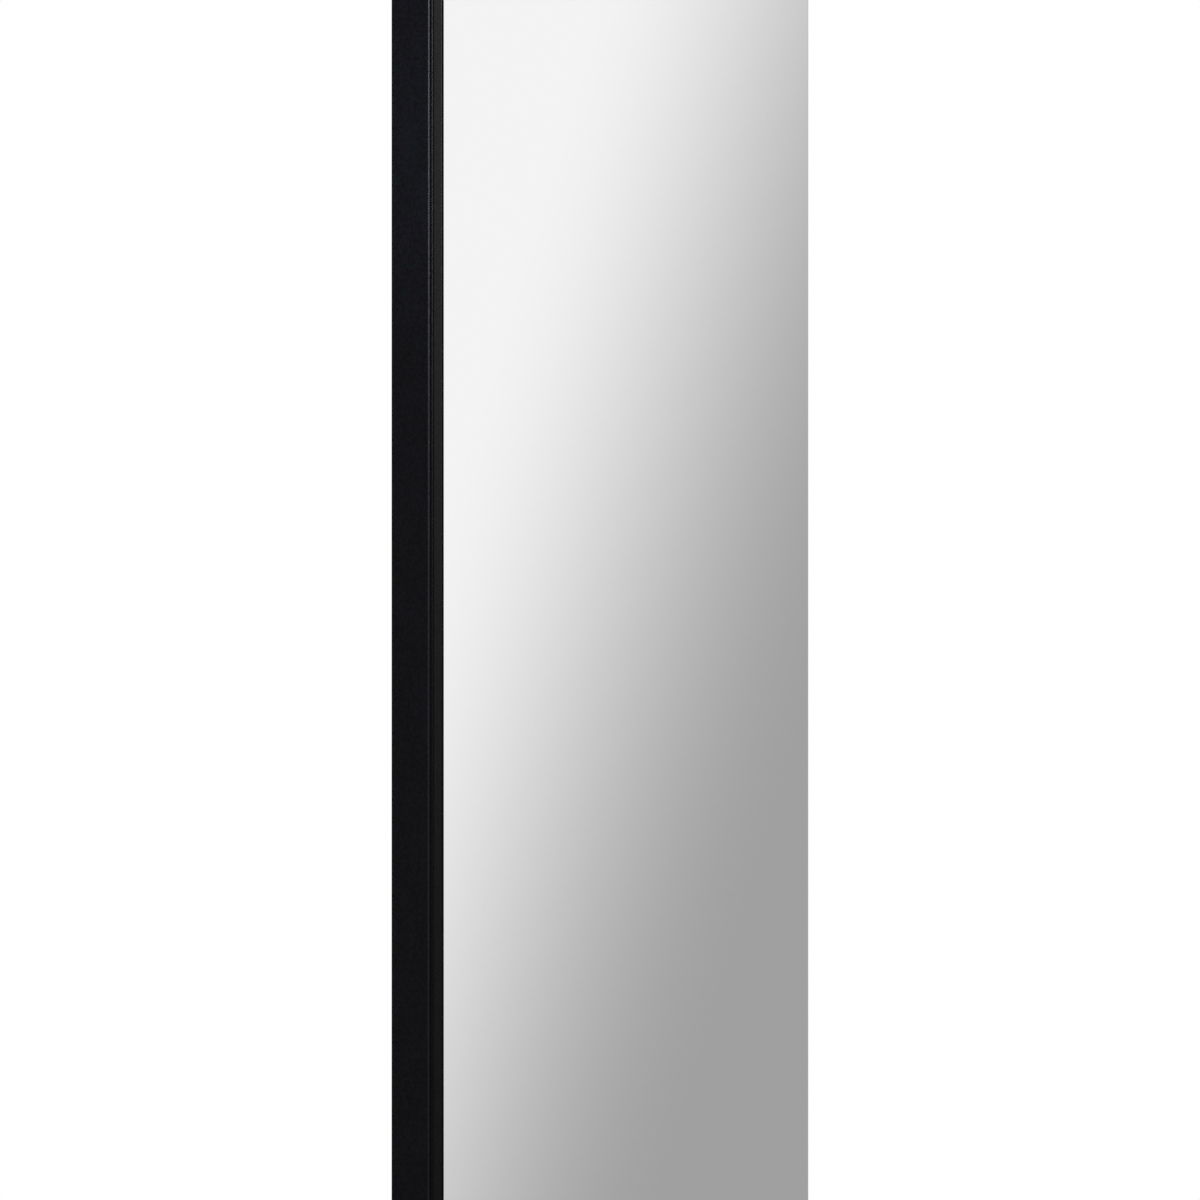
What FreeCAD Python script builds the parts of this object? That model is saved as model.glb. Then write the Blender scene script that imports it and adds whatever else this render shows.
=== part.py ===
import FreeCAD, Part
import Sketcher
import math
import os
from types import SimpleNamespace

# A tall wall mirror with a black moulded stile along its left edge only. The other three edges of the
# glass are bare. The origin is the middle of the back on the wall plane: +X is right as seen from the
# front, the front faces -Y and +Z is up. Depths are measured from the wall towards the viewer.

os.makedirs("parts", exist_ok=True)
doc = FreeCAD.newDocument("wall_mirror")

SIZES = {
    # The whole mirror
    "mirror_width": 520,
    "mirror_height": 1500,
    # Carrier board and the banding on its bare edges
    "board_thickness": 12,
    "band_thickness": 1,
    "band_round": 0.6,
    "glass_overhang": 2,
    # Glass and what bonds it to the board
    "glass_thickness": 4,
    "glass_arris": 0.5,
    "film_thickness": 0.3,
    "film_inset": 1,
    "tape_count": 4,
    "tape_thickness": 1,
    "tape_width": 19,
    "tape_side_margin": 40,
    "tape_end_margin": 50,
    "adhesive_width": 14,
    "adhesive_end_margin": 100,
    # Stile: a flat face, a quirk with a small bead in it, and a bevel down to the glass
    "face_width": 47,
    "quirk_width": 5.6,
    "bevel_width": 9.9,
    "face_proud": 10.7,
    "back_round": 0.5,
    "outer_round": 1.5,
    "arris_round": 2.2,
    "quirk_depth": 3.8,
    "quirk_draft": 0.7,
    "quirk_round": 0.4,
    "bead_width": 2.6,
    "bead_height": 0.9,
    "bead_gap": 1.4,
    "bevel_rise": 4.2,
    "bevel_round": 0.4,
    "lip_thickness": 2.5,
    "lip_round": 1,
    "glass_cover": 10,
    "glass_play": 1.5,
    "leg_thickness": 10,
    "cap_thickness": 1,
    # Gasket between the stile's lip and the glass
    "gasket_thickness": 1,
    "gasket_reveal": 2.4,
    "gasket_rise": 1.2,
    "gasket_round": 0.7,
    # Countersunk screws through the board into the stile
    "stile_screw_count": 6,
    "stile_screw_end": 100,
    "stile_screw_inset": 30,
    "stile_screw_diameter": 3.5,
    "stile_screw_skin": 3,
    "stile_head_diameter": 7,
    "stile_head_sink": 0.2,
    # Hanging straps and rings
    "hanger_inset": 88,
    "hanger_drop": 150,
    "wall_clearance": 1,
    "strap_width": 16,
    "strap_thickness": 1.5,
    "strap_hole_pitch": 16,
    "strap_hole_play": 0.2,
    "strap_end": 8,
    "eye_play": 0.3,
    "eye_wrap": 295,
    "ring_wire": 3.4,
    "ring_bend": 5,
    "ring_side": 2.5,
    "ring_side_play": 1,
    "ring_head_clearance": 1.5,
    "ring_butt_gap": 0.3,
    "hanger_screw_diameter": 4,
    "hanger_head_diameter": 7.5,
    "hanger_head_height": 2.4,
    # Rubber bumpers against the wall
    "bumper_inset": 45,
    "bumper_base_diameter": 22,
    "bumper_tip_diameter": 19,
    "bumper_round": 1.5,
    "bumper_head_clearance": 1.3,
    "washer_diameter": 9.5,
    "washer_thickness": 1,
    "washer_play": 0.5,
    "bumper_screw_diameter": 3.5,
    "bumper_head_diameter": 7,
    "bumper_head_height": 2.2,
    # Shared by all the screws
    "board_skin": 2.5,
    "thread_gap": 0.05,
    "screw_point": 2,
    "recess_span": 4,
    "recess_slot": 1.1,
    "recess_depth": 1.4,
}

sheet = doc.addObject("Spreadsheet::Sheet", "Sizes")
for row, (alias, number) in enumerate(SIZES.items(), start=1):
    sheet.set(f"A{row}", alias)
    sheet.set(f"B{row}", str(number))
    sheet.setAlias(f"B{row}", alias)
doc.recompute()


class Size:
    """A length worked out from the sheet: its number now, and the expression that binds it."""

    def __init__(self, value, text):
        self.value = value
        self.text = text

    def join(self, sign, other, value):
        return Size(value, f"({self.text} {sign} {other.text})")

    def __add__(self, other):
        return self.join("+", other, self.value + other.value)

    def __sub__(self, other):
        return self.join("-", other, self.value - other.value)

    def __mul__(self, factor):
        return Size(self.value * factor, f"({self.text} * {factor})")

    def __truediv__(self, divisor):
        return Size(self.value / divisor, f"({self.text} / {divisor})")

    def __neg__(self):
        return self * -1


dims = SimpleNamespace(**{name: Size(float(sheet.get(name)), f"Sizes.{name}") for name in SIZES})
ZERO = Size(0.0, "0")
# Share of a width that rounds both of its corners and leaves a sliver of flat between them.
NEAR_HALF = 0.48
# Share of a pan head's height that its dome takes.
DOME_SHARE = 0.7


def bind(item, prop, size):
    item.setExpression(prop, size.text)


def place(item, x, y, z):
    """Put a sub-part's own origin at a point of the mirror."""
    for axis, size in zip("xyz", (x, y, z)):
        bind(item, f"Placement.Base.{axis}", size)


def new_body(label):
    return doc.addObject("PartDesign::Body", label)


def new_sketch(body, name, plane, lift=ZERO):
    """A sketch on one of the body's own planes, lifted along that plane's normal."""
    sketch = body.newObject("Sketcher::SketchObject", name)
    support = next(item for item in body.Origin.OriginFeatures if item.Role == plane)
    sketch.AttachmentSupport = [(support, "")]
    sketch.MapMode = "FlatFace"
    bind(sketch, "AttachmentOffset.Base.z", lift)
    return sketch


def measure(sketch, kind, where, size):
    """A dimension in a sketch, bound to the sheet."""
    index = sketch.addConstraint(Sketcher.Constraint(kind, *where, size.value))
    bind(sketch, f"Constraints[{index}]", size)


def lock(sketch, geometry, position, x, y):
    """Hold a sketch point at distances from the sketch's origin."""
    measure(sketch, "DistanceX", (-1, 1, geometry, position), x)
    measure(sketch, "DistanceY", (-1, 1, geometry, position), y)


def draw_outline(sketch, corners, closed=True):
    """Straight runs through the corners (x, y, radius), each corner rounded or, with no radius, sharp."""
    count = len(corners)
    points = [FreeCAD.Vector(x.value, y.value, 0) for x, y, radius in corners]
    run_ends, run_starts, arcs = list(points), list(points), {}
    for i, (x, y, radius) in enumerate(corners):
        if radius is None:
            continue
        back = (points[i - 1] - points[i]).normalize()
        ahead = (points[(i + 1) % count] - points[i]).normalize()
        half = back.getAngle(ahead) / 2
        run_ends[i] = points[i] + back * (radius.value / math.tan(half))
        run_starts[i] = points[i] + ahead * (radius.value / math.tan(half))
        centre = points[i] + (back + ahead).normalize() * (radius.value / math.sin(half))
        left_turn = back.cross(ahead).z < 0
        first = run_ends[i] if left_turn else run_starts[i]
        start = math.atan2(first.y - centre.y, first.x - centre.x)
        circle = Part.Circle(centre, FreeCAD.Vector(0, 0, 1), radius.value)
        arc = sketch.addGeometry(Part.ArcOfCircle(circle, start, start + math.pi - 2 * half), False)
        arcs[i] = (arc, 1, 2) if left_turn else (arc, 2, 1)
    runs = []
    for i in range(count if closed else count - 1):
        line = Part.LineSegment(run_starts[i], run_ends[(i + 1) % count])
        runs.append(sketch.addGeometry(line, False))
    for i, (x, y, radius) in enumerate(corners):
        before = runs[i - 1] if closed or i > 0 else None
        after = runs[i] if closed or i < count - 1 else None
        if radius is not None:
            arc, arc_in, arc_out = arcs[i]
            mark = sketch.addGeometry(Part.Point(points[i]), True)
            sketch.addConstraint([
                Sketcher.Constraint("PointOnObject", mark, 1, before),
                Sketcher.Constraint("PointOnObject", mark, 1, after),
                Sketcher.Constraint("Tangent", before, 2, arc, arc_in),
                Sketcher.Constraint("Tangent", arc, arc_out, after, 1),
            ])
            lock(sketch, mark, 1, x, y)
            measure(sketch, "Radius", (arc,), radius)
        elif after is None:
            lock(sketch, before, 2, x, y)
        else:
            if before is not None:
                sketch.addConstraint(Sketcher.Constraint("Coincident", before, 2, after, 1))
            lock(sketch, after, 1, x, y)


def draw_circle(sketch, x, y, diameter):
    centre = FreeCAD.Vector(x.value, y.value, 0)
    circle = sketch.addGeometry(Part.Circle(centre, FreeCAD.Vector(0, 0, 1), diameter.value / 2), False)
    lock(sketch, circle, 3, x, y)
    measure(sketch, "Diameter", (circle,), diameter)


def rectangle(x_low, x_high, y_low, y_high):
    return [(x_low, y_low, None), (x_high, y_low, None), (x_high, y_high, None), (x_low, y_high, None)]


def pad(body, sketch, length, symmetric=False):
    feature = body.newObject("PartDesign::Pad", f"{body.Name}_pad")
    feature.Profile = sketch
    feature.SideType = "Symmetric" if symmetric else "One side"
    bind(feature, "Length", length)


def turn(body, sketch):
    """Revolve a half section about the sketch's upright axis."""
    feature = body.newObject("PartDesign::Revolution", f"{body.Name}_turn")
    feature.Profile = sketch
    feature.ReferenceAxis = (sketch, ["V_Axis"])
    feature.Angle = 360


def took_nothing(body, volume):
    """Whether the last cut left the body's volume as it was."""
    doc.recompute()
    return not body.Shape.Volume < volume


def cut(body, sketch, depth):
    """A pocket from the sketch plane towards the mirror's front."""
    doc.recompute()
    volume = body.Shape.Volume
    feature = body.newObject("PartDesign::Pocket", f"{sketch.Name}_cut")
    feature.Profile = sketch
    feature.Reversed = True
    bind(feature, "Length", depth)
    if took_nothing(body, volume):
        raise RuntimeError(f"{feature.Label} takes nothing away")


def copies(label, master, spots):
    """One node of identical separate solids, each a placed copy of the master."""
    links = []
    for number, spot in enumerate(spots, start=1):
        link = doc.addObject("App::Link", f"{label}_copy_{number}")
        link.LinkedObject = master
        place(link, *spot)
        links.append(link)
    group = doc.addObject("Part::Compound", label)
    group.Links = links
    nodes.append(group)


# Lines and depths that the pieces share. The wall gap lets the straps' eyes clear the wall.
nodes = []
eye_inner = dims.ring_wire / 2 + dims.eye_play
eye_outer = eye_inner + dims.strap_thickness
wall_gap = eye_outer * 2 + dims.wall_clearance
board_back = wall_gap
board_front = board_back + dims.board_thickness
film_back = board_front + dims.tape_thickness
glass_back = film_back + dims.film_thickness
glass_front = glass_back + dims.glass_thickness
lip_back = glass_front + dims.gasket_thickness
face_depth = glass_front + dims.face_proud
stile_width = dims.face_width + dims.quirk_width + dims.bevel_width
half_width = dims.mirror_width / 2
half_height = dims.mirror_height / 2
outer_edge = -half_width
sight_edge = outer_edge + stile_width
glass_left = sight_edge - dims.glass_cover
board_left = outer_edge + dims.leg_thickness
board_right = half_width - dims.glass_overhang - dims.band_thickness
board_top = half_height - dims.glass_overhang - dims.band_thickness


# Stile: one moulding whose leg covers the board's left edge and whose lip overlaps the glass.
# Its two cut ends are covered by thin caps of the same section.
def stile_length(label, length, base):
    """A length of the moulding standing on its lower cut end."""
    body = new_body(label)
    quirk_floor = face_depth - dims.quirk_depth
    quirk_left = dims.face_width + dims.quirk_draft
    bevel_left = dims.face_width + dims.quirk_width
    bead_right = bevel_left - dims.bead_gap
    bead_left = bead_right - dims.bead_width
    bead_top = quirk_floor + dims.bead_height
    bead_flat = dims.bead_width - dims.bead_height * 2
    bead_round = bead_flat * (NEAR_HALF / math.tan(math.pi / 8))
    lip_front = lip_back + dims.lip_thickness
    rebate = stile_width - dims.glass_cover - dims.glass_play
    section = [
        (ZERO, board_back, dims.back_round),
        (ZERO, face_depth, dims.outer_round),
        (dims.face_width, face_depth, dims.arris_round),
        (quirk_left, quirk_floor, dims.quirk_round),
        (bead_left, quirk_floor, None),
        (bead_left + dims.bead_height, bead_top, bead_round),
        (bead_right - dims.bead_height, bead_top, bead_round),
        (bead_right, quirk_floor, None),
        (bevel_left, quirk_floor, None),
        (bevel_left, lip_front + dims.bevel_rise, dims.bevel_round),
        (stile_width, lip_front, dims.lip_round),
        (stile_width, lip_back, None),
        (rebate, lip_back, None),
        (rebate, board_front, None),
        (dims.leg_thickness, board_front, None),
        (dims.leg_thickness, board_back, None),
    ]
    sketch = new_sketch(body, f"{label}_section", "XY_Plane")
    draw_outline(sketch, [(along, -depth, radius) for along, depth, radius in section])
    pad(body, sketch, length)
    place(body, outer_edge, ZERO, base)
    nodes.append(body)
    return body


stile_base = dims.cap_thickness - half_height
stile = stile_length("frame_stile", dims.mirror_height - dims.cap_thickness * 2, stile_base)
stile_length("stile_end_cap_bottom", dims.cap_thickness, -half_height)
stile_length("stile_end_cap_top", dims.cap_thickness, half_height - dims.cap_thickness)

screw_total = int(dims.stile_screw_count.value)
screw_pitch = (dims.mirror_height - dims.stile_screw_end * 2) / (screw_total - 1)
lowest_screw = dims.stile_screw_end - half_height
stile_screw_heights = [lowest_screw + screw_pitch * number for number in range(screw_total)]
stile_screw_bite = face_depth - board_front - dims.stile_screw_skin
stile_hole_diameter = dims.stile_screw_diameter + dims.thread_gap * 2
pilots = new_sketch(stile, "stile_pilots", "XZ_Plane", board_front)
for height in stile_screw_heights:
    draw_circle(pilots, dims.stile_screw_inset, height - stile_base, stile_hole_diameter)
cut(stile, pilots, stile_screw_bite + dims.thread_gap)


# Carrier board: it carries the glass and the stile in front and the hanging hardware behind.
board = new_body("carrier_board")
outline = new_sketch(board, "board_outline", "XZ_Plane", board_back)
draw_outline(outline, rectangle(board_left, board_right, -board_top, board_top))
pad(board, outline, dims.board_thickness)
nodes.append(board)

stile_screw_x = outer_edge + dims.stile_screw_inset
screw_holes = new_sketch(board, "stile_screw_holes", "XZ_Plane", board_back)
for height in stile_screw_heights:
    draw_circle(screw_holes, stile_screw_x, height, stile_hole_diameter)
doc.recompute()
undrilled = board.Shape.Volume
countersinks = board.newObject("PartDesign::Hole", "stile_screw_countersinks")
countersinks.Profile = screw_holes
countersinks.Reversed = True
countersinks.ThreadType = "None"
countersinks.DepthType = "ThroughAll"
bind(countersinks, "Diameter", stile_hole_diameter)
countersinks.HoleCutType = "Countersink"
countersinks.HoleCutCountersinkAngle = 90
countersink_reach = dims.stile_head_sink + dims.thread_gap
bind(countersinks, "HoleCutDiameter", dims.stile_head_diameter + countersink_reach * 2)
if took_nothing(board, undrilled):
    raise RuntimeError("the countersunk holes take nothing away")

ring_width = dims.strap_width + (dims.ring_bend + dims.ring_side_play) * 2
ring_bow = ring_width * NEAR_HALF
ring_drop = dims.ring_bend + dims.ring_side + ring_bow
first_hole = ring_drop + (dims.ring_wire + dims.hanger_head_diameter) / 2 + dims.ring_head_clearance
second_hole = first_hole + dims.strap_hole_pitch
hanger_x = half_width - dims.hanger_inset
hanger_z = half_height - dims.hanger_drop
hanger_screw_spots = [
    (x, hanger_z - drop) for x in (-hanger_x, hanger_x) for drop in (first_hole, second_hole)
]
bumper_x = half_width - dims.bumper_inset
bumper_z = half_height - dims.bumper_inset
bumper_spots = [(x, z) for z in (bumper_z, -bumper_z) for x in (-bumper_x, bumper_x)]
board_bite = dims.board_thickness - dims.board_skin
for name, spots, diameter in (
    ("hanger_pilots", hanger_screw_spots, dims.hanger_screw_diameter),
    ("bumper_pilots", bumper_spots, dims.bumper_screw_diameter),
):
    pilots = new_sketch(board, name, "XZ_Plane", board_back)
    for x, z in spots:
        draw_circle(pilots, x, z, diameter + dims.thread_gap * 2)
    cut(board, pilots, board_bite + dims.thread_gap)


# Edge banding: thin strips glued to the three bare edges of the board, rounded along their outer edges.
def edge_band(label, plane, rise, length, x, z):
    """A strip standing out from the board's edge by its rise, as wide as the board is thick."""
    body = new_body(label)
    sketch = new_sketch(body, f"{label}_section", plane)
    section = [
        (-board_front, ZERO, None),
        (-board_front, rise, dims.band_round),
        (-board_back, rise, dims.band_round),
        (-board_back, ZERO, None),
    ]
    if plane == "XY_Plane":
        section = [(out, depth, radius) for depth, out, radius in section]
    draw_outline(sketch, section)
    pad(body, sketch, length)
    place(body, x, ZERO, z)
    nodes.append(body)


band_span = board_right + dims.band_thickness - board_left
edge_band("edge_band_top", "YZ_Plane", dims.band_thickness, band_span, board_left, board_top)
edge_band("edge_band_bottom", "YZ_Plane", -dims.band_thickness, band_span, board_left, -board_top)
edge_band("edge_band_right", "XY_Plane", dims.band_thickness, board_top * 2, board_right, -board_top)


# Glass with polished edges, and the safety film on its silvered back.
glass = new_body("mirror_glass")
outline = new_sketch(glass, "glass_outline", "XZ_Plane", glass_back)
draw_outline(outline, rectangle(glass_left, half_width, -half_height, half_height))
pad(glass, outline, dims.glass_thickness)
doc.recompute()
pane = glass.Tip
broad_faces = [
    f"Face{number}"
    for number, face in enumerate(pane.Shape.Faces, start=1)
    if abs(face.normalAt(0, 0).y) > abs(face.normalAt(0, 0).x) + abs(face.normalAt(0, 0).z)
]
arris = glass.newObject("PartDesign::Chamfer", "glass_arris")
arris.Base = (pane, broad_faces)
bind(arris, "Size", dims.glass_arris)
nodes.append(glass)


def slab(label, x_low, x_high, depth_low, depth_high, z_high):
    """A flat strip or sheet lying between two depths, as far below the middle as above it."""
    box = doc.addObject("Part::Box", label)
    bind(box, "Length", x_high - x_low)
    bind(box, "Width", depth_high - depth_low)
    bind(box, "Height", z_high * 2)
    place(box, x_low, -depth_high, -z_high)
    nodes.append(box)


film_left = glass_left + dims.film_inset
film_right = half_width - dims.film_inset
slab("safety_film", film_left, film_right, film_back, glass_back, half_height - dims.film_inset)


# Bonding: upright strips of foam tape with a bead of adhesive between each pair.
tape_total = int(dims.tape_count.value)
first_tape = glass_left + dims.tape_side_margin
tape_pitch = (half_width - dims.tape_side_margin - first_tape) / (tape_total - 1)
half_tape = dims.tape_width / 2
tape_top = half_height - dims.tape_end_margin
for number in range(tape_total):
    middle = first_tape + tape_pitch * number
    label = f"foam_tape_{number + 1}"
    slab(label, middle - half_tape, middle + half_tape, board_front, film_back, tape_top)

adhesive_top = half_height - dims.adhesive_end_margin
half_adhesive = dims.adhesive_width / 2
bulge = dims.tape_thickness * NEAR_HALF
for number in range(tape_total - 1):
    adhesive = new_body(f"adhesive_bead_{number + 1}")
    section = new_sketch(adhesive, f"{adhesive.Name}_section", "XY_Plane")
    corners = rectangle(-half_adhesive, half_adhesive, -dims.tape_thickness, ZERO)
    draw_outline(section, [(x, y, bulge) for x, y, sharp in corners])
    pad(adhesive, section, adhesive_top * 2)
    place(adhesive, first_tape + tape_pitch * (number + 0.5), -board_front, -adhesive_top)
    nodes.append(adhesive)


# Gasket: it lies between the stile's lip and the glass and shows as a dark soft edge beside the lip.
gasket = new_body("glazing_gasket")
section = new_sketch(gasket, "gasket_section", "XY_Plane")
gasket_left = dims.glass_arris - dims.glass_cover
gasket_front = lip_back + dims.gasket_rise
draw_outline(section, [
    (gasket_left, -glass_front, None),
    (dims.gasket_reveal, -glass_front, None),
    (dims.gasket_reveal, -gasket_front, dims.gasket_round),
    (ZERO, -gasket_front, None),
    (ZERO, -lip_back, None),
    (gasket_left, -lip_back, None),
])
pad(gasket, section, dims.mirror_height)
place(gasket, sight_edge, ZERO, -half_height)
nodes.append(gasket)


# Hanging straps: a steel strip whose top end is rolled into an eye around the ring's straight bar.
def draw_strap(sketch):
    """Side view about the eye's axis: a flat leg against the board, then the roll, cut off square."""
    inner, outer = eye_inner.value, eye_outer.value
    strap_length = second_hole + dims.strap_end
    wrap_end = Size(540 - dims.eye_wrap.value, f"(540 - {dims.eye_wrap.text})")
    finish = math.radians(wrap_end.value)
    start = 3 * math.pi
    upright = FreeCAD.Vector(0, 0, 1)
    centre = FreeCAD.Vector(0, 0, 0)
    cut_end = FreeCAD.Vector(math.cos(finish), math.sin(finish), 0)
    leg_top = FreeCAD.Vector(-1, 0, 0)
    foot = FreeCAD.Vector(0, -strap_length.value, 0)

    def arc(radius):
        circle = Part.Circle(centre, upright, radius)
        return sketch.addGeometry(Part.ArcOfCircle(circle, finish, start), False)

    def line(begin, end, guide=False):
        return sketch.addGeometry(Part.LineSegment(begin, end), guide)

    outer_arc = arc(outer)
    inner_arc = arc(inner)
    square_cut = line(cut_end * outer, cut_end * inner)
    back = line(leg_top * outer + foot, leg_top * outer)
    front = line(leg_top * inner, leg_top * inner + foot)
    bottom = line(leg_top * inner + foot, leg_top * outer + foot)
    ray = line(centre, cut_end * inner, guide=True)
    sketch.addConstraint([
        Sketcher.Constraint("Coincident", outer_arc, 3, -1, 1),
        Sketcher.Constraint("Coincident", inner_arc, 3, -1, 1),
        Sketcher.Constraint("Tangent", back, 2, outer_arc, 2),
        Sketcher.Constraint("Tangent", inner_arc, 2, front, 1),
        Sketcher.Constraint("Vertical", back),
        Sketcher.Constraint("Vertical", front),
        Sketcher.Constraint("Coincident", front, 2, bottom, 1),
        Sketcher.Constraint("Coincident", bottom, 2, back, 1),
        Sketcher.Constraint("Horizontal", bottom),
        Sketcher.Constraint("Coincident", square_cut, 1, outer_arc, 1),
        Sketcher.Constraint("Coincident", square_cut, 2, inner_arc, 1),
        Sketcher.Constraint("Coincident", ray, 1, -1, 1),
        Sketcher.Constraint("Coincident", ray, 2, inner_arc, 1),
        Sketcher.Constraint("PointOnObject", outer_arc, 1, ray),
    ])
    measure(sketch, "Radius", (outer_arc,), eye_outer)
    measure(sketch, "Radius", (inner_arc,), eye_inner)
    measure(sketch, "DistanceY", (-1, 1, bottom, 1), -strap_length)
    index = sketch.addConstraint(Sketcher.Constraint("Angle", -1, 1, ray, 1, finish))
    bind(sketch, f"Constraints[{index}]", wrap_end)


def hanger_strap(label, x):
    body = new_body(label)
    side = new_sketch(body, f"{label}_side", "YZ_Plane")
    draw_strap(side)
    pad(body, side, dims.strap_width, symmetric=True)
    holes = new_sketch(body, f"{label}_holes", "XZ_Plane", eye_inner)
    for drop in (first_hole, second_hole):
        draw_circle(holes, ZERO, -drop, dims.hanger_screw_diameter + dims.strap_hole_play * 2)
    cut(body, holes, dims.strap_thickness)
    drilled = body.Tip
    end_corners = [
        f"Edge{number}"
        for number, edge in enumerate(drilled.Shape.Edges, start=1)
        if edge.BoundBox.Center.z < -second_hole.value - dims.hanger_screw_diameter.value
        and edge.BoundBox.YLength > edge.BoundBox.XLength + edge.BoundBox.ZLength
    ]
    rounding = body.newObject("PartDesign::Fillet", f"{label}_end")
    rounding.Base = (drilled, end_corners)
    bind(rounding, "Radius", dims.strap_width * NEAR_HALF)
    place(body, x, eye_outer - board_back, hanger_z)
    nodes.append(body)


# Rings: one bent wire each, butted in the middle of the straight bar that lies in the strap's eye.
def d_ring(label, x):
    body = new_body(label)
    bar_end = dims.ring_butt_gap / 2
    reach = ring_width / 2
    path = new_sketch(body, f"{label}_path", "XZ_Plane")
    bends = [
        (bar_end, ZERO, None),
        (reach, ZERO, dims.ring_bend),
        (reach, -ring_drop, ring_bow),
        (-reach, -ring_drop, ring_bow),
        (-reach, ZERO, dims.ring_bend),
        (-bar_end, ZERO, None),
    ]
    draw_outline(path, bends, closed=False)
    wire = new_sketch(body, f"{label}_wire", "YZ_Plane", bar_end)
    draw_circle(wire, ZERO, ZERO, dims.ring_wire)
    bent = body.newObject("PartDesign::AdditivePipe", f"{label}_bent")
    bent.Profile = wire
    bent.Spine = path
    place(body, x, eye_outer - board_back, hanger_z)
    nodes.append(body)


for side, x in (("left", -hanger_x), ("right", hanger_x)):
    hanger_strap(f"hanger_strap_{side}", x)
    d_ring(f"d_ring_{side}", x)


# Screws: turned blanks with a cross recess, each standing on the plane that its head bears on.
def cross_recess(body, head_top):
    tip = dims.recess_span / 2
    side = dims.recess_slot / 2
    sketch = new_sketch(body, f"{body.Name}_recess", "XZ_Plane", -head_top)
    quarter = [(side, tip), (side, side), (tip, side)]
    cross = []
    for step in range(4):
        cross += [(x, y, None) for x, y in quarter]
        quarter = [(y, -x) for x, y in quarter]
    draw_outline(sketch, cross)
    cut(body, sketch, dims.recess_depth)


def screw(label, length, diameter, head):
    """A screw from the half section of its head, which ends where the shank starts."""
    body = new_body(label)
    section = new_sketch(body, f"{label}_section", "XY_Plane")
    shank = [(diameter / 2, dims.screw_point - length, None), (ZERO, -length, None)]
    draw_outline(section, head + shank)
    turn(body, section)
    cross_recess(body, head[0][1])
    return body


def pan_head(diameter, head_diameter, head_height):
    return [
        (ZERO, head_height, None),
        (head_diameter / 2, head_height, head_height * DOME_SHARE),
        (head_diameter / 2, ZERO, None),
        (diameter / 2, ZERO, None),
    ]


head_cone = (dims.stile_head_diameter - dims.stile_screw_diameter) / 2
flat_head = [
    (ZERO, ZERO, None),
    (dims.stile_head_diameter / 2, ZERO, None),
    (dims.stile_screw_diameter / 2, -head_cone, None),
]
stile_screw_length = dims.board_thickness - dims.stile_head_sink + stile_screw_bite
stile_screw = screw("stile_screw", stile_screw_length, dims.stile_screw_diameter, flat_head)
stile_screw_y = -(board_back + dims.stile_head_sink)
copies("stile_screws", stile_screw, [(stile_screw_x, stile_screw_y, z) for z in stile_screw_heights])

hanger_head = pan_head(dims.hanger_screw_diameter, dims.hanger_head_diameter, dims.hanger_head_height)
hanger_screw_length = dims.strap_thickness + board_bite
hanger_screw = screw("hanger_screw", hanger_screw_length, dims.hanger_screw_diameter, hanger_head)
strap_face = dims.strap_thickness - board_back
copies("hanger_screws", hanger_screw, [(x, strap_face, z) for x, z in hanger_screw_spots])


# Bumpers: rubber feet that taper to the wall, each held by a screw and a washer down in its recess.
recess_depth = dims.washer_thickness + dims.bumper_head_height + dims.bumper_head_clearance
recess_floor = wall_gap - recess_depth
recess_radius = dims.washer_diameter / 2 + dims.washer_play
bumper_hole_radius = dims.bumper_screw_diameter / 2 + dims.thread_gap
for corner, (x, z) in zip(("top_left", "top_right", "bottom_left", "bottom_right"), bumper_spots):
    bumper = new_body(f"wall_bumper_{corner}")
    section = new_sketch(bumper, f"{bumper.Name}_section", "XY_Plane")
    draw_outline(section, [
        (bumper_hole_radius, ZERO, None),
        (dims.bumper_base_diameter / 2, ZERO, None),
        (dims.bumper_tip_diameter / 2, wall_gap, dims.bumper_round),
        (recess_radius, wall_gap, None),
        (recess_radius, recess_floor, None),
        (bumper_hole_radius, recess_floor, None),
    ])
    turn(bumper, section)
    place(bumper, x, -board_back, z)
    nodes.append(bumper)

washer = new_body("bumper_washer")
section = new_sketch(washer, "bumper_washer_section", "XY_Plane")
ring_section = rectangle(bumper_hole_radius, dims.washer_diameter / 2, ZERO, dims.washer_thickness)
draw_outline(section, ring_section)
turn(washer, section)
washer_seat = recess_floor - board_back
copies("bumper_washers", washer, [(x, washer_seat, z) for x, z in bumper_spots])

bumper_head = pan_head(dims.bumper_screw_diameter, dims.bumper_head_diameter, dims.bumper_head_height)
bumper_screw_length = dims.washer_thickness + recess_floor + board_bite
bumper_screw = screw("bumper_screw", bumper_screw_length, dims.bumper_screw_diameter, bumper_head)
bumper_screw_seat = washer_seat + dims.washer_thickness
copies("bumper_screws", bumper_screw, [(x, bumper_screw_seat, z) for x, z in bumper_spots])


# Nothing is written unless every object is sound.
doc.recompute()
for item in doc.Objects:
    if "Invalid" in item.State or "Error" in item.State:
        raise RuntimeError(f"{item.Label} did not build: {item.State}")
for node in nodes:
    if node.Shape.isNull() or not node.Shape.isValid():
        raise RuntimeError(f"{node.Label} has no sound shape")
for node in nodes:
    node.Shape.exportStep(f"parts/{node.Label}.step")
    print(node.Label, len(node.Shape.Solids), round(node.Shape.Volume, 1))
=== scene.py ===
import math

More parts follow.
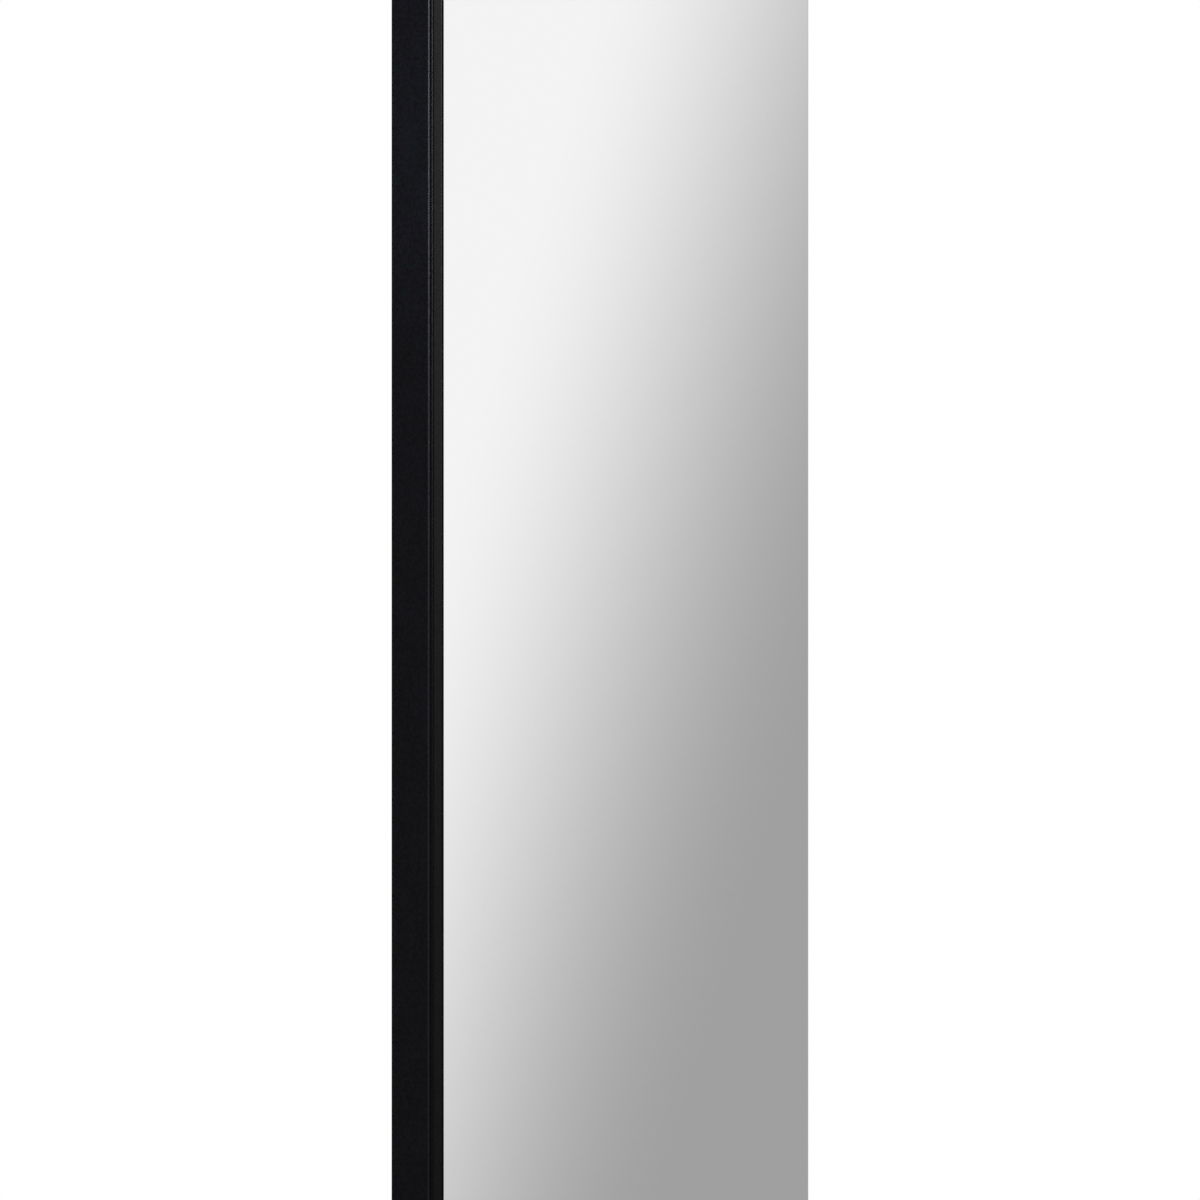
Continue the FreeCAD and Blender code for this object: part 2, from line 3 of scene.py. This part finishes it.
import bpy
import numpy as np
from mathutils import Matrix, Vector


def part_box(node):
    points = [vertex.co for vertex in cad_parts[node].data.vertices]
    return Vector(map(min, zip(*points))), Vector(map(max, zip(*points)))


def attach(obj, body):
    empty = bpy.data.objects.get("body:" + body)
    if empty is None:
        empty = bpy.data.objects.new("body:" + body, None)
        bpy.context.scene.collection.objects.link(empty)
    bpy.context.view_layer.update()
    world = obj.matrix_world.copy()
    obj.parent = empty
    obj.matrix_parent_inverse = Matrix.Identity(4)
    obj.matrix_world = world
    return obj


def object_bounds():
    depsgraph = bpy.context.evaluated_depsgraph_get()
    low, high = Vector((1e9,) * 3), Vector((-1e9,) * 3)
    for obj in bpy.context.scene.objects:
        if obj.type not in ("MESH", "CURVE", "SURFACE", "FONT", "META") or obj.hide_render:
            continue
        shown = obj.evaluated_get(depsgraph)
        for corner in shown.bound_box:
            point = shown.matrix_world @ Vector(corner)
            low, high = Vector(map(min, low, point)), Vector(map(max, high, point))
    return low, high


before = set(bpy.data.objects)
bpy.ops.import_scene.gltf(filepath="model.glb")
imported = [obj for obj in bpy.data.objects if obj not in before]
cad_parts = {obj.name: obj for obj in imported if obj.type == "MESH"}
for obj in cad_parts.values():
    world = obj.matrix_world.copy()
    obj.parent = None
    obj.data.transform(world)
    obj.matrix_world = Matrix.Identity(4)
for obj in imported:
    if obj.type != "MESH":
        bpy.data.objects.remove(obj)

cad_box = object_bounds()


# Carrier board: fibreboard faced on both sides with black melamine paper of a fine pearl texture. It is
# sawn to size and drilled, so the brown core shows only inside its screw holes. Sliding over a bench has
# left a few faint level scuffs on the paper.
class Value:
    """A socket of one material's or world's nodes. Arithmetic on it adds Math nodes."""

    def __init__(self, owner, socket=None):
        self.owner = owner
        self.socket = socket

    def node(self, kind, settings=None, sockets=None, output=0):
        """Any node: its settings are set first, then its sockets take numbers, colours or links."""
        tree = self.owner.node_tree
        made = tree.nodes.new(kind)
        for name, setting in (settings or {}).items():
            setattr(made, name, setting)
        for name, given in (sockets or {}).items():
            if isinstance(given, Value):
                tree.links.new(given.socket, made.inputs[name])
            else:
                made.inputs[name].default_value = given
        return Value(self.owner, made.outputs[output] if made.outputs else None)

    def math(self, operation, *terms):
        """A Math node on numbers and links."""
        return self.node("ShaderNodeMath", {"operation": operation}, dict(enumerate(terms)))

    def __add__(self, other):
        return self.math("ADD", self, other)

    def __sub__(self, other):
        return self.math("SUBTRACT", self, other)

    def __rsub__(self, other):
        return self.math("SUBTRACT", other, self)

    def __mul__(self, other):
        return self.math("MULTIPLY", self, other)

    def __truediv__(self, other):
        return self.math("DIVIDE", self, other)

    def __pow__(self, other):
        return self.math("POWER", self, other)

    def __neg__(self):
        return self.math("MULTIPLY", self, -1)

    def __lt__(self, other):
        return self.math("LESS_THAN", self, other)

    def __gt__(self, other):
        return self.math("GREATER_THAN", self, other)

    __radd__ = __add__
    __rmul__ = __mul__


def start_material(name):
    """A new empty material, given as the object coordinates that its patterns follow."""
    material = bpy.data.materials.new(name)
    material.use_nodes = True
    material.node_tree.nodes.clear()
    return Value(material).node("ShaderNodeTexCoord", output="Object")


def along(place, axis):
    """How far a point lies along X, Y or Z."""
    return place.node("ShaderNodeSeparateXYZ", sockets={"Vector": place}, output=axis)


def grain(place, cells, detail):
    """Noise from 0 to 1 with so many cells per metre along X, Y and Z."""
    spread = place.node("ShaderNodeVectorMath", {"operation": "MULTIPLY"}, {0: place, 1: cells})
    return place.node("ShaderNodeTexNoise", sockets={"Vector": spread, "Scale": 1.0, "Detail": detail})


def rise(value, low, high):
    """A smooth step from 0 at low to 1 at high."""
    sockets = {"Value": value, "From Min": low, "From Max": high}
    return value.node("ShaderNodeMapRange", {"interpolation_type": "SMOOTHSTEP"}, sockets)


def blend(share, first, second):
    """The first colour where the share is 0 and the second where it is 1. A Mix node has its colours at
    inputs 6 and 7 and at output 2."""
    sockets = {"Factor": share, 6: first, 7: second}
    return share.node("ShaderNodeMix", {"data_type": "RGBA"}, sockets, output=2)


def bump(height, strength, depth):
    """A surface normal for a texture of that depth in metres."""
    sockets = {"Height": height, "Strength": strength, "Distance": depth}
    return height.node("ShaderNodeBump", sockets=sockets)


def close_material(place, sockets, *names):
    """The material's shader, and the material put on the CAD nodes of those names."""
    shader = place.node("ShaderNodeBsdfPrincipled", sockets=sockets)
    place.node("ShaderNodeOutputMaterial", sockets={"Surface": shader})
    for name in names:
        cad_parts[name].data.materials[0] = place.owner
    return place.owner


board_low, board_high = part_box("carrier_board")
facing_paper = 0.0003

place = start_material("black_melamine")
y = along(place, "Y")
pearl = grain(place, (1100, 1100, 1100), detail=3)
cloud = grain(place, (5, 5, 5), detail=4)
fibres = grain(place, (240, 500, 110), detail=4)
scuffs = rise(grain(place, (5, 5, 620), detail=2), 0.66, 0.76) * rise(cloud, 0.50, 0.62)
in_core = (y < board_high.y - facing_paper) * (y > board_low.y + facing_paper)
paper = blend(cloud, (0.007, 0.007, 0.008, 1), (0.012, 0.012, 0.013, 1))
paper = blend(scuffs, paper, (0.030, 0.030, 0.031, 1))
core = blend(fibres, (0.13, 0.075, 0.035, 1), (0.46, 0.31, 0.17, 1))
close_material(place, {
    "Base Color": blend(in_core, paper, core),
    "Roughness": 0.36 + 0.20 * cloud + 0.10 * pearl + 0.10 * scuffs + 0.25 * in_core,
    "Specular IOR Level": 0.20,
    "Normal": bump(pearl, strength=0.40, depth=0.0002),
}, "carrier_board")


# Edge bands: 1 mm black ABS strip, hot glued to the three bare edges of the board and trimmed flush. The
# trimming cutter leaves the rounded corners a little paler and duller than the extruded face.
band_low, band_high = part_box("edge_band_right")
trimmed = 0.0006

place = start_material("black_banding")
y = along(place, "Y")
drawn_lines = grain(place, (12, 3200, 12), detail=3)
cloud = grain(place, (30, 30, 30), detail=3)
trim = 1 - rise(y, band_low.y, band_low.y + trimmed) + rise(y, band_high.y - trimmed, band_high.y)
close_material(place, {
    "Base Color": blend(trim * (0.4 + 0.6 * cloud), (0.006, 0.006, 0.007, 1), (0.028, 0.028, 0.029, 1)),
    "Roughness": 0.34 + 0.12 * drawn_lines + 0.2 * trim,
    "Specular IOR Level": 0.18,
    "Normal": bump(drawn_lines, strength=0.2, depth=0.0001),
}, "edge_band_top", "edge_band_bottom", "edge_band_right")


# Bonding: four strips of white closed-cell foam tape, with a bead of clear mirror adhesive between each
# pair. They are squeezed between the board and the film and show only in the gap at the edges.
cells_per_metre = 2600.0

place = start_material("white_foam")
cells = place.node("ShaderNodeTexVoronoi", sockets={"Vector": place, "Scale": cells_per_metre})
close_material(place, {
    "Base Color": blend(cells, (0.62, 0.62, 0.60, 1), (0.86, 0.86, 0.84, 1)),
    "Roughness": 0.75 + 0.15 * cells,
    "Normal": bump(cells, strength=0.6, depth=0.0002),
}, "foam_tape_1", "foam_tape_2", "foam_tape_3", "foam_tape_4")

place = start_material("clear_adhesive")
haze = grain(place, (90, 90, 40), detail=3)
close_material(place, {
    "Base Color": blend(haze, (0.60, 0.59, 0.54, 1), (0.78, 0.77, 0.73, 1)),
    "Roughness": 0.18 + 0.2 * haze,
    "Normal": bump(haze, strength=0.3, depth=0.0004),
}, "adhesive_bead_1", "adhesive_bead_2", "adhesive_bead_3")


# Safety film: a thin grey film with a woven scrim, stuck to the back of the glass to hold splinters. It
# stops a millimetre short of the edges of the glass, and from behind it shows as a line past the board.
def wave(value):
    """The sine of an angle."""
    return value.math("SINE", value)


threads_per_metre = 700
turns = 2 * math.pi * threads_per_metre

place = start_material("grey_film")
weave = 0.5 + 0.5 * wave(turns * along(place, "X")) * wave(turns * along(place, "Z"))
close_material(place, {
    "Base Color": blend(weave, (0.36, 0.37, 0.38, 1), (0.50, 0.51, 0.52, 1)),
    "Roughness": 0.45 + 0.15 * weave,
    "Normal": bump(weave, strength=0.4, depth=0.0001),
}, "safety_film")


# Mirror glass: 4 mm float glass, silvered behind and painted grey over the silver. The front shows the
# silver, and the ground and polished edges show the green of the glass's own depth, painted paler
# towards both faces and darkest in the middle as a painted reflection of the light inside the glass.
glass_low, glass_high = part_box("mirror_glass")
silver_share = 0.85
face_skin = 0.00008

place = start_material("silvered_glass")
y = along(place, "Y")
depth = (y - glass_low.y) / (glass_high.y - glass_low.y)
silver = y < glass_low.y + face_skin
paint = y > glass_high.y - face_skin
wiped = grain(place, (3, 3, 9), detail=4)
sawn = grain(place, (700, 40, 700), detail=3)
# Painted reflection: across each edge the green is paler towards both faces and darkest in the middle.
painted_edge_shade = 4 * depth * (1 - depth)
edge = blend(painted_edge_shade, (0.30, 0.47, 0.40, 1), (0.05, 0.17, 0.125, 1))
edge = blend(paint, edge, (0.21, 0.21, 0.22, 1))
close_material(place, {
    "Base Color": blend(silver, edge, (silver_share, silver_share, silver_share, 1)),
    "Metallic": silver,
    "Roughness": 0.004 * wiped * silver + (1 - silver) * (0.05 + 0.08 * sawn + 0.4 * paint),
}, "mirror_glass")


# Gasket: a soft black extruded strip pressed between the stile's lip and the glass, which keeps the
# moulding off the glass. A rounded edge of it shows as the dark line beside the mirror.
place = start_material("black_gasket")
bloom = grain(place, (60, 60, 14), detail=4)
close_material(place, {
    "Base Color": blend(bloom, (0.0008, 0.0007, 0.0006, 1), (0.0022, 0.0020, 0.0018, 1)),
    "Roughness": 0.55 + 0.2 * bloom,
    "Specular IOR Level": 0.06,
    "Normal": bump(bloom, strength=0.15, depth=0.0002),
}, "glazing_gasket")


# Stile: a fibreboard moulding wrapped in satin black foil, glued and screwed to the board. The foil is
# mottled and glossier where it is drawn tight over the arris. Over the bead and bevel it is painted
# browner, a painted warm reflection of the light they catch.
# It is lapped round to the back, and the brown core shows there beside its cut edge.
stile_low, stile_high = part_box("frame_stile")
arris_left = stile_low.x + 0.0450
arris_right = arris_left + 0.0028
arris_fade = 0.0006
foil_thickness = 0.00015
lap_width = 0.0065
corner_round = 0.0005

place = start_material("black_foil")
x = along(place, "X")
y = along(place, "Y")
print_cloud = grain(place, (70, 70, 24), detail=4)
satin = grain(place, (300, 300, 220), detail=4)
mottle = rise(0.25 * print_cloud + 0.75 * satin, 0.38, 0.62)
pores = grain(place, (1500, 1500, 700), detail=3)
fibres = grain(place, (900, 900, 160), detail=4)
painted_warm_bevel = rise(x, arris_right, arris_right + arris_fade)
tight = rise(x, arris_left - arris_fade, arris_left) * (1 - painted_warm_bevel)
bare = (y > stile_high.y - foil_thickness) * (x > stile_low.x + lap_width)
foil = blend(mottle, (0.0003, 0.0004, 0.0012, 1), (0.0012, 0.0014, 0.0038, 1))
# Painted warm reflection: the foil over the bead and bevel gets a browner colour.
foil = blend(painted_warm_bevel, foil, (0.0021, 0.0014, 0.0015, 1))
fibreboard = blend(fibres, (0.17, 0.10, 0.05, 1), (0.36, 0.24, 0.13, 1))
close_material(place, {
    "Base Color": blend(bare, foil, fibreboard),
    "Roughness": 0.34 + 0.06 * print_cloud + 0.05 * pores + 0.4 * bare,
    "Specular IOR Level": 0.09,
    "Coat Weight": 0.14 * tight + 0.04 * mottle,
    "Coat Roughness": 0.36,
    "Normal": bump(pores, strength=0.08, depth=0.0001),
}, "frame_stile")

place = start_material("black_foil_lap")
creases = grain(place, (400, 400, 30), detail=4)
lap_finish = close_material(place, {
    "Base Color": blend(creases, (0.004, 0.004, 0.0045, 1), (0.010, 0.010, 0.011, 1)),
    "Roughness": 0.38 + 0.12 * creases,
    "Specular IOR Level": 0.3,
    "Normal": bump(creases, strength=0.3, depth=0.0002),
})


def carry_profile(name, profile, start, end):
    """A closed strip: each profile point (x, y) at the start height and at the end height, joined by
    quads around the profile, with one flat face closing each end."""
    count = len(profile)
    heights = np.repeat((start, end), count)
    points = np.column_stack((np.tile(profile, (2, 1)), heights))
    first = np.arange(count)
    following = np.roll(first, -1)
    sides = np.column_stack((first, following, following + count, first + count))
    faces = sides.tolist() + [first[::-1].tolist(), (first + count).tolist()]
    mesh = bpy.data.meshes.new(name)
    mesh.from_pydata(points, [], faces)
    piece = bpy.data.objects.new(name, mesh)
    bpy.context.scene.collection.objects.link(piece)
    return piece


lap_back = stile_high.y + foil_thickness
lap_profile = np.array([
    (stile_low.x + corner_round, stile_high.y),
    (stile_low.x + lap_width, stile_high.y),
    (stile_low.x + lap_width - foil_thickness, lap_back),
    (stile_low.x + corner_round + foil_thickness, lap_back),
])
foil_lap = carry_profile("foil_lap", lap_profile, stile_low.z, stile_high.z)
foil_lap.data.materials.append(lap_finish)
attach(foil_lap, "mirror")


# End caps: the same black banding, cut to the moulding's section and glued over its two sawn ends. They
# are filed flush with the foil, which leaves them finely scratched.
place = start_material("black_caps")
filed = grain(place, (500, 500, 500), detail=3)
close_material(place, {
    "Base Color": blend(filed, (0.0016, 0.0016, 0.0020, 1), (0.0036, 0.0036, 0.0042, 1)),
    "Roughness": 0.40 + 0.15 * filed,
    "Specular IOR Level": 0.12,
    "Normal": bump(filed, strength=0.15, depth=0.0001),
}, "stile_end_cap_top", "stile_end_cap_bottom")


# Stile screws: hardened countersunk wood screws with a cross recess, yellow passivated over zinc. They
# are driven through the board into the stile and sit just below the board's face.
place = start_material("yellow_zinc")
patina = grain(place, (260, 260, 260), detail=3)
tint = grain(place, (90, 90, 90), detail=2)
gold = blend(tint, (0.66, 0.47, 0.17, 1), (0.70, 0.56, 0.34, 1))
close_material(place, {
    "Base Color": blend(rise(patina, 0.5, 0.8), gold, (0.56, 0.44, 0.40, 1)),
    "Metallic": 1.0,
    "Roughness": 0.26 + 0.2 * patina,
}, "stile_screws")


# Hangers: stamped steel straps rolled into an eye around bent wire rings. Both are zinc plated in a
# barrel after forming. The steel's rolling lines show through the zinc, which has faint blue clouds and
# small dark knocks.
place = start_material("barrel_zinc")
cloud = grain(place, (150, 150, 150), detail=3)
rolling = grain(place, (2600, 2600, 60), detail=3)
knocks = rise(grain(place, (800, 800, 800), detail=2), 0.66, 0.74)
plated = blend(cloud, (0.34, 0.36, 0.40, 1), (0.52, 0.53, 0.54, 1))
close_material(place, {
    "Base Color": blend(knocks, plated, (0.26, 0.27, 0.29, 1)),
    "Metallic": 1.0,
    "Roughness": 0.20 + 0.16 * cloud + 0.10 * rolling + 0.12 * knocks,
    "Normal": bump(rolling, strength=0.25, depth=0.0001),
}, "hanger_strap_left", "hanger_strap_right", "d_ring_left", "d_ring_right")


# Small screws and washers: cold-headed pan heads that hold the straps and the bumpers, and the plain
# washers under the bumper screws. Their bright zinc is smoother than the straps'.
place = start_material("bright_zinc")
turning = grain(place, (60, 3000, 60), detail=2)
tarnish = grain(place, (420, 420, 420), detail=3)
close_material(place, {
    "Base Color": blend(tarnish, (0.62, 0.62, 0.62, 1), (0.44, 0.43, 0.41, 1)),
    "Metallic": 1.0,
    "Roughness": 0.14 + 0.14 * tarnish + 0.06 * turning,
    "Normal": bump(turning, strength=0.15, depth=0.0001),
}, "hanger_screws", "bumper_screws", "bumper_washers")


# Wall bumpers: moulded black rubber feet with a recess for the washer and screw that hold them. The
# rubber is matt, with a grey bloom on its flanks and a rubbed ring where it rests on the wall.
bumper_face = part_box("wall_bumper_top_left")[1].y
rubbed_depth = 0.0012

place = start_material("black_rubber")
bloom = grain(place, (220, 220, 220), detail=4)
specks = grain(place, (1800, 1800, 1800), detail=2)
rubbed = rise(along(place, "Y"), bumper_face - rubbed_depth, bumper_face)
close_material(place, {
    "Base Color": blend(bloom * (1 - 0.6 * rubbed), (0.010, 0.010, 0.010, 1), (0.030, 0.030, 0.031, 1)),
    "Roughness": 0.72 + 0.15 * bloom - 0.2 * rubbed,
    "Specular IOR Level": 0.3,
    "Normal": bump(specks, strength=0.3, depth=0.0002),
}, "wall_bumper_top_left", "wall_bumper_top_right", "wall_bumper_bottom_left", "wall_bumper_bottom_right")


# Studio floor: a pale paper sheet below the hanging mirror, which takes its shadow. It fades out towards
# its edges, and it is clear from below, so that it never hides the mirror.
def add_surface(name, points, material):
    """A grid of points (rows, columns, 3) as one sheet of quads."""
    rows, columns = points.shape[:2]
    index = np.arange(rows * columns).reshape(rows, columns)
    corners = (index[:-1, :-1], index[:-1, 1:], index[1:, 1:], index[1:, :-1])
    quads = np.stack(corners, axis=-1).reshape(-1, 4)
    mesh = bpy.data.meshes.new(name)
    mesh.from_pydata(points.reshape(-1, 3), [], quads.tolist())
    mesh.materials.append(material)
    sheet = bpy.data.objects.new(name, mesh)
    bpy.context.scene.collection.objects.link(sheet)
    return sheet


def level_square(reach, height):
    """The corners of a flat sheet: x and y are minus or plus the reach, and z is the height."""
    x, y = np.meshgrid((-reach, reach), (-reach, reach))
    return np.stack((x, y, np.full_like(x, height)), axis=-1)


floor_drop = 0.30
floor_reach = 3.2
fade_start = 1.2
floor_height = cad_box[0].z - floor_drop

place = start_material("pale_floor")
from_middle = place.node("ShaderNodeVectorMath", {"operation": "LENGTH"}, {0: place}, output="Value")
paper = grain(place, (3, 3, 3), detail=3)
floor_shade = place.node("ShaderNodeBsdfDiffuse", sockets={
    "Color": blend(paper, (0.84, 0.84, 0.84, 1), (0.86, 0.86, 0.86, 1)),
})
clear = place.node("ShaderNodeBsdfTransparent")
underside = place.node("ShaderNodeNewGeometry", output="Backfacing")
floor_mix = place.node("ShaderNodeMixShader", sockets={
    0: underside.math("MAXIMUM", underside, rise(from_middle, fade_start, floor_reach)),
    1: floor_shade,
    2: clear,
})
place.node("ShaderNodeOutputMaterial", sockets={"Surface": floor_mix})
add_surface("studio_floor", level_square(floor_reach, floor_height), place.owner)


# Camera: level with the middle of the mirror, far away with a long lens, as the photograph's parallel
# edges show. The mirror fills the frame from top to bottom.
camera_distance = 10.0
view_height = 1.4985
sensor_millimetres = 36.0

camera = bpy.data.objects.new("camera", bpy.data.cameras.new("camera"))
camera.data.sensor_width = sensor_millimetres
camera.data.lens = sensor_millimetres * camera_distance / view_height
camera.data.clip_end = 10 * camera_distance
camera.location = (0.0, glass_low.y - camera_distance, 0.0)
camera.rotation_euler = (math.radians(90), 0, 0)
bpy.context.scene.collection.objects.link(camera)
bpy.context.scene.camera = camera


# Studio backdrop: a wide glowing bowl around the camera, which only reflections see. Its glow is painted
# in leaning stripes of painted shade that go from light at the upper left to grey at the lower right,
# though the bowl itself is smooth, and the mirror shows one of them. The places and widths of the stripes
# are measured on the mirror and carried out to the bowl.
bowl_radius = 13.0
bowl_turn = 88
bowl_lift = 70
bowl_step = 2
light_tone = 243 / 255
dark_tone = 160 / 255
stripe_tilt = math.radians(16.9)
stripe_start = -0.235
stripe_end = 0.302
stripe_flat = 0.35


def bowl_points(radius, widest_turn, widest_lift, step):
    """Part of a sphere: x = radius sin(turn) cos(lift), y = -radius cos(turn) cos(lift) and
    z = radius sin(lift), where both angles go in even steps of degrees from minus to plus their widest."""
    turn_steps = np.radians(np.arange(-widest_turn, widest_turn + step, step))
    lift_steps = np.radians(np.arange(-widest_lift, widest_lift + step, step))
    turn, lift = np.meshgrid(turn_steps, lift_steps)
    directions = (np.sin(turn) * np.cos(lift), -np.cos(turn) * np.cos(lift), np.sin(lift))
    return radius * np.stack(directions, axis=-1)


def light_for(tone):
    """The light that a screen shows as a tone from 0 to 1, by the curve of the sRGB scale."""
    return ((tone + 0.055) / 1.055) ** 2.4


mirror_to_bowl = 1 + bowl_radius / camera_distance
stripe_width = (stripe_end - stripe_start) * mirror_to_bowl
flat_width = stripe_flat * mirror_to_bowl

place = start_material("studio_painted_stripes")
round_bowl = bowl_radius * place.math("ARCTAN2", along(place, "X"), -along(place, "Y"))
across_stripes = math.cos(stripe_tilt) * round_bowl - math.sin(stripe_tilt) * along(place, "Z")
from_stripe_start = across_stripes - (stripe_start * mirror_to_bowl - flat_width / 2)
# Painted shade: the glow darkens across each leaning stripe, as folds would shade, though the bowl is
# smooth.
in_stripe = place.math("PINGPONG", from_stripe_start, stripe_width + flat_width)
shade = rise(in_stripe, flat_width / 2, flat_width / 2 + stripe_width)
tone = light_tone + (dark_tone - light_tone) * shade
light = light_for(tone) / silver_share
glow = place.node("ShaderNodeEmission", sockets={"Color": light, "Strength": 1.0})
place.node("ShaderNodeOutputMaterial", sockets={"Surface": glow})

bowl = add_surface("studio_bowl", bowl_points(bowl_radius, bowl_turn, bowl_lift, bowl_step), place.owner)
bowl.visible_camera = False
bowl.visible_diffuse = False
bowl.visible_transmission = False
bowl.visible_shadow = False


# Studio light: an even white room, a tall warm softbox at the right front and one behind. For the stile
# alone, a strong one on the right gives the arris its glint, and a dim blue one close to its face cools
# the top third. The mirror doesn't show any of them.
room_level = 0.6

world = bpy.data.worlds.new("studio")
bpy.context.scene.world = world
world.use_nodes = True
world.node_tree.nodes.clear()
room = Value(world)
seen = room.node("ShaderNodeLightPath", output="Is Camera Ray")
for kind in ("Is Glossy Ray", "Is Transmission Ray"):
    seen = seen.math("MAXIMUM", seen, room.node("ShaderNodeLightPath", output=kind))
sky = room.node("ShaderNodeBackground", sockets={
    "Color": (1, 1, 1, 1),
    "Strength": room_level + (1 - room_level) * seen,
})
room.node("ShaderNodeOutputWorld", sockets={"Surface": sky})


def light_group(name, link_state, *node_names):
    """A set of CAD nodes that a lamp lights alone, or that it leaves out."""
    group = bpy.data.collections.new(name)
    for node_name in node_names:
        group.objects.link(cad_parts[node_name])
    for member in group.collection_objects:
        member.light_linking.link_state = link_state
    return group


all_but_mirror = light_group("all_but_mirror", "EXCLUDE", "mirror_glass")
stile_only = light_group(
    "stile_only", "INCLUDE", "frame_stile", "stile_end_cap_top", "stile_end_cap_bottom", "glazing_gasket"
)


def add_softbox(name, spot, target, width, height, brightness, colour, receivers):
    """A rectangular lamp at a spot, facing a target, as bright as so many times white."""
    lamp = bpy.data.lights.new(name, "AREA")
    lamp.color = colour
    lamp.shape = "RECTANGLE"
    lamp.size = width
    lamp.size_y = height
    lamp.energy = brightness * math.pi * width * height
    softbox = bpy.data.objects.new(name, lamp)
    softbox.location = spot
    softbox.rotation_euler = (Vector(target) - Vector(spot)).to_track_quat("-Z", "Y").to_euler()
    softbox.visible_camera = False
    softbox.light_linking.receiver_collection = receivers
    bpy.context.scene.collection.objects.link(softbox)


add_softbox(
    "key_softbox",
    spot=(2.2, -2.5, 1.1),
    target=(-0.2, 0.0, 0.5),
    width=1.0,
    height=1.6,
    brightness=2.9,
    colour=(1.0, 0.96, 0.86),
    receivers=all_but_mirror,
)
add_softbox(
    "back_softbox",
    spot=(1.7, 1.9, 0.9),
    target=(0.0, 0.0, 0.2),
    width=1.2,
    height=1.2,
    brightness=3.5,
    colour=(1.0, 1.0, 1.0),
    receivers=all_but_mirror,
)
add_softbox(
    "rim_softbox",
    spot=(1.68, -0.24, 0.88),
    target=(-0.2, 0.0, 0.7),
    width=0.8,
    height=0.8,
    brightness=39.0,
    colour=(0.84, 0.87, 1.0),
    receivers=stile_only,
)
add_softbox(
    "window_softbox",
    spot=(-0.25, -0.42, 0.605),
    target=(-0.25, 0.0, 0.605),
    width=0.5,
    height=0.35,
    brightness=0.52,
    colour=(0.53, 0.58, 1.0),
    receivers=stile_only,
)

bpy.context.scene.view_settings.view_transform = "Standard"
